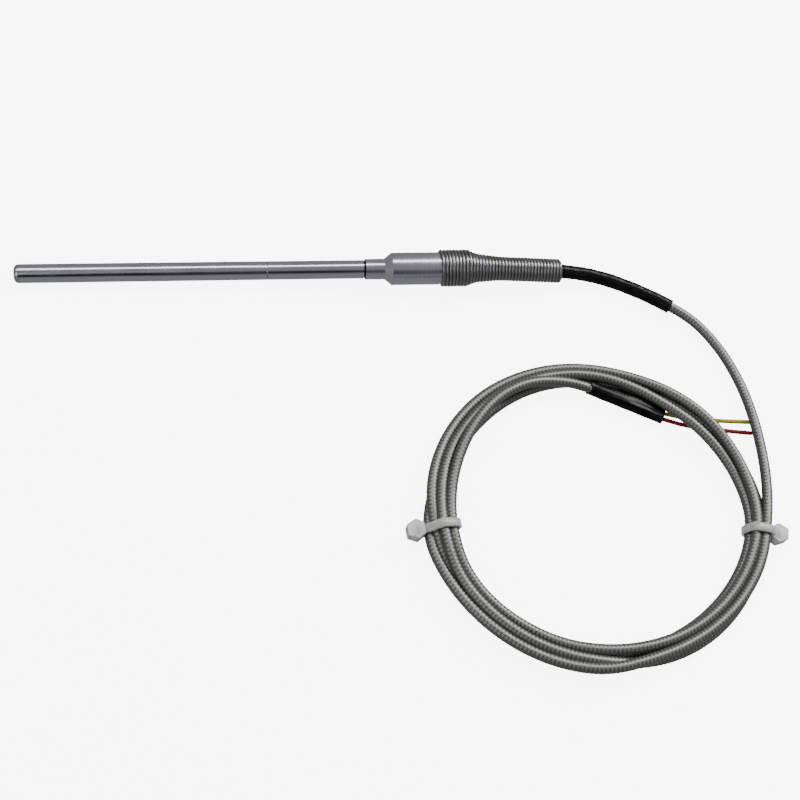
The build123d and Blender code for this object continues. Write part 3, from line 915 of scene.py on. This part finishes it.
def turns_at(line, place, outward):
    """Where the lead's turns cross the band: distance outward and height above the surface."""
    tangent = np.array([-outward[1], outward[0]])
    flat = line[:, :2] - place
    beside = flat @ tangent
    beyond = flat @ outward
    crossings = []
    for index in np.nonzero(np.diff(np.sign(beside)))[0]:
        if abs(beyond[index]) < TIE_REACH:
            crossings.append((beyond[index], line[index, 2] - SURFACE))
    return crossings


def band_outline(crossings, spread):
    """An even outline round the turns, a given distance outside their middles."""
    ring = [(spread * cos(turn), spread * sin(turn)) for turn in full_turn(CIRCLE_POINTS)]
    cloud = [Vector((x + dx, z + dz)) for x, z in crossings for dx, dz in ring]
    corners = np.array([cloud[index] for index in convex_hull_2d(cloud)])
    corners = np.vstack([corners, corners[0]])
    known = np.concatenate([[0], np.cumsum(np.linalg.norm(np.diff(corners, axis=0), axis=1))])
    wanted = np.arange(OUTLINE_POINTS) / OUTLINE_POINTS * known[-1]
    outline = np.stack([np.interp(wanted, known, corners[:, axis]) for axis in range(2)], axis=1)
    for _ in range(OUTLINE_ROUNDS):
        outline = (np.roll(outline, 1, axis=0) + 2 * outline + np.roll(outline, -1, axis=0)) / 4
    return outline


def add_band(shape, outline, to_world):
    """A flat strap with rounded edges that follows the outline."""
    half = TIE_WIDTH / 2
    thick = TIE_THICKNESS / 2
    edge = TIE_EDGE
    quarter = [(thick, half - edge), (thick - edge, half)]
    upper = quarter + [(-out, side) for out, side in reversed(quarter)]
    section = upper + [(-out, -side) for out, side in upper]
    ahead = np.roll(outline, -1, axis=0) - np.roll(outline, 1, axis=0)
    ahead = ahead / np.linalg.norm(ahead, axis=1)[:, None]
    normals = np.stack([ahead[:, 1], -ahead[:, 0]], axis=1)
    if np.sum((outline - outline.mean(axis=0)) * normals) < 0:
        normals = -normals
    rings = []
    for point, normal in zip(outline, normals):
        rings.append([
            shape.verts.new(to_world(point[0] + normal[0] * out, side, point[1] + normal[1] * out))
            for out, side in section
        ])
    for ring, after in zip(rings, rings[1:] + rings[:1]):
        for index in range(len(section)):
            other = (index + 1) % len(section)
            shape.faces.new([ring[index], ring[other], after[other], after[index]])


def add_prism(shape, outline, low, high, to_world, bevel):
    """An upright block with bevelled edges. The outline is outward distance and sideways distance."""
    bottom = [shape.verts.new(to_world(x, y, low)) for x, y in outline]
    top = [shape.verts.new(to_world(x, y, high)) for x, y in outline]
    faces = [shape.faces.new(bottom[::-1]), shape.faces.new(top)]
    for index in range(len(outline)):
        other = (index + 1) % len(outline)
        faces.append(shape.faces.new([bottom[index], bottom[other], top[other], top[index]]))
    edges = list(dict.fromkeys(edge for face in faces for edge in face.edges))
    bmesh.ops.bevel(shape, geom=edges, offset=bevel * MM, segments=3, affect="EDGES", profile=0.6)


def cable_tie(name, angle, line, material):
    """A band round the coil's turns, with its head and its strap's cut end on the outside."""
    place, outward = tie_place(angle)
    tangent = np.array([-outward[1], outward[0]])
    crossings = turns_at(line, place, outward)

    def to_world(out, side, height):
        x, y = place + outward * out + tangent * side
        return on_surface(x, y, height)

    shape = bmesh.new()
    outline = band_outline(crossings, CABLE_DIAMETER / 2 + TIE_GAP + TIE_THICKNESS / 2)
    add_band(shape, outline, to_world)
    outer = outline[:, 0].max() + TIE_THICKNESS / 2
    middle = (outline[:, 1].max() + outline[:, 1].min()) / 2
    half = TIE_HEAD_WIDTH / 2
    inner = outer - TIE_THICKNESS - 2 * TIE_GAP
    tip = inner + TIE_HEAD_LENGTH
    waist = inner + TIE_HEAD_WAIST * TIE_HEAD_LENGTH
    shoulder = half - TIE_HEAD_SHOULDER
    near_side = [(inner, -shoulder), (waist, -half), (tip, -shoulder)]
    head = near_side + [(out, -side) for out, side in reversed(near_side)]
    low = middle - TIE_HEAD_HEIGHT / 2
    high = middle + TIE_HEAD_HEIGHT / 2
    add_prism(shape, head, low, high, to_world, TIE_HEAD_BEVEL)
    tail_in = inner + TAIL_INSET
    tail_out = tail_in + TAIL_THICKNESS
    edge = TAIL_WIDTH / 2
    tail = [(tail_in, -edge), (tail_out, -edge), (tail_out, edge), (tail_in, edge)]
    add_prism(shape, tail, low - TAIL_BELOW, high + TAIL_ABOVE, to_world, TAIL_BEVEL)
    bmesh.ops.recalc_face_normals(shape, faces=shape.faces)
    shape.faces.sort(key=lambda face: face.calc_center_median().dot(FACE_ORDER))
    mesh = bpy.data.meshes.new(name)
    shape.to_mesh(mesh)
    shape.free()
    shade_smooth(mesh)
    piece = add_object(name, mesh)
    return finish_piece(piece, material, "natural_nylon", "cable_tie_" + name.split("_")[0])


# Stage --------------------------------------------------------------------------------------------


def make_floor():
    """A near-white floor that shows up in no reflection."""
    material, tree, shader = new_material("pale_floor", (0.9, 0.9, 0.9), roughness=0.9)
    cloth = noise(tree, coordinates(tree), scale=30.0, detail=2.0)
    tree.links.new(ramp(tree, cloth, [(0.2, 0.88), (0.8, 0.92)]), shader.inputs["Base Color"])
    shader.inputs["Emission Color"].default_value = (1.0, 1.0, 1.0, 1.0)
    shader.inputs["Emission Strength"].default_value = FLOOR_GLOW
    mesh = bpy.data.meshes.new("floor")
    height = SURFACE * MM - FLOOR_DROP
    around = [(-1, -1), (1, -1), (1, 1), (-1, 1)]
    corners = [(x * FLOOR_HALF, y * FLOOR_HALF, height) for x, y in around]
    mesh.from_pydata(corners, [], [(0, 1, 2, 3)])
    mesh.materials.append(material)
    floor = add_object("floor", mesh)
    floor.visible_glossy = False
    floor.visible_diffuse = False


def add_light(name, place, size, power, color=(1.0, 1.0, 1.0)):
    """A rectangular lamp that faces the object."""
    data = bpy.data.lights.new(name, "AREA")
    data.shape = "RECTANGLE"
    data.size, data.size_y = size
    data.energy = power
    data.color = color
    light = bpy.data.objects.new(name, data)
    light.location = place
    light.rotation_euler = (Vector(LIT_POINT) - Vector(place)).to_track_quat("-Z", "Y").to_euler()
    bpy.context.scene.collection.objects.link(light)


def make_world():
    """A grey room that is dark behind the camera."""
    world = bpy.data.worlds.new("studio")
    world.use_nodes = True
    tree = world.node_tree
    source = tree.nodes.new("ShaderNodeTexCoord")
    facing = tree.nodes.new("ShaderNodeVectorMath")
    facing.operation = "DOT_PRODUCT"
    tree.links.new(source.outputs["Generated"], facing.inputs[0])
    facing.inputs[1].default_value = DARK_SIDE
    shade = ramp(tree, facing.outputs["Value"], [(0.90, ROOM_COLOR), (0.98, DARK_COLOR)])
    background = tree.nodes["Background"]
    tree.links.new(shade, background.inputs["Color"])
    background.inputs["Strength"].default_value = ROOM_STRENGTH
    bpy.context.scene.world = world


def make_lights():
    add_light("key", *KEY_LIGHT)
    add_light("top", *TOP_LIGHT)
    add_light("fill", *FILL_LIGHT, color=FILL_COLOR)


# Assembly -----------------------------------------------------------------------------------------


make_camera()
materials = make_materials()
lead = lead_line()
lead_piece = braided_lead(lead, materials["braid"])
shrink_piece = front_shrink(lead, materials["shrink"])
boot_piece = rear_boot(materials["shrink"])
tie_pieces = [
    cable_tie(f"{name}_tie", angle, lead, materials["nylon"]) for name, angle in TIE_ANGLES.items()
]
yellow_piece, yellow_line = wire_tail(
    "yellow_wire", YELLOW_ROUTE, materials["yellow"], "yellow_insulation", "yellow_wire_insulation"
)
red_piece, red_line = wire_tail(
    "red_wire", RED_ROUTE, materials["red"], "red_insulation", "red_wire_insulation"
)
spring_coil(materials["spring"])
finish_cad_nodes(materials)
make_floor()
make_world()
make_lights()
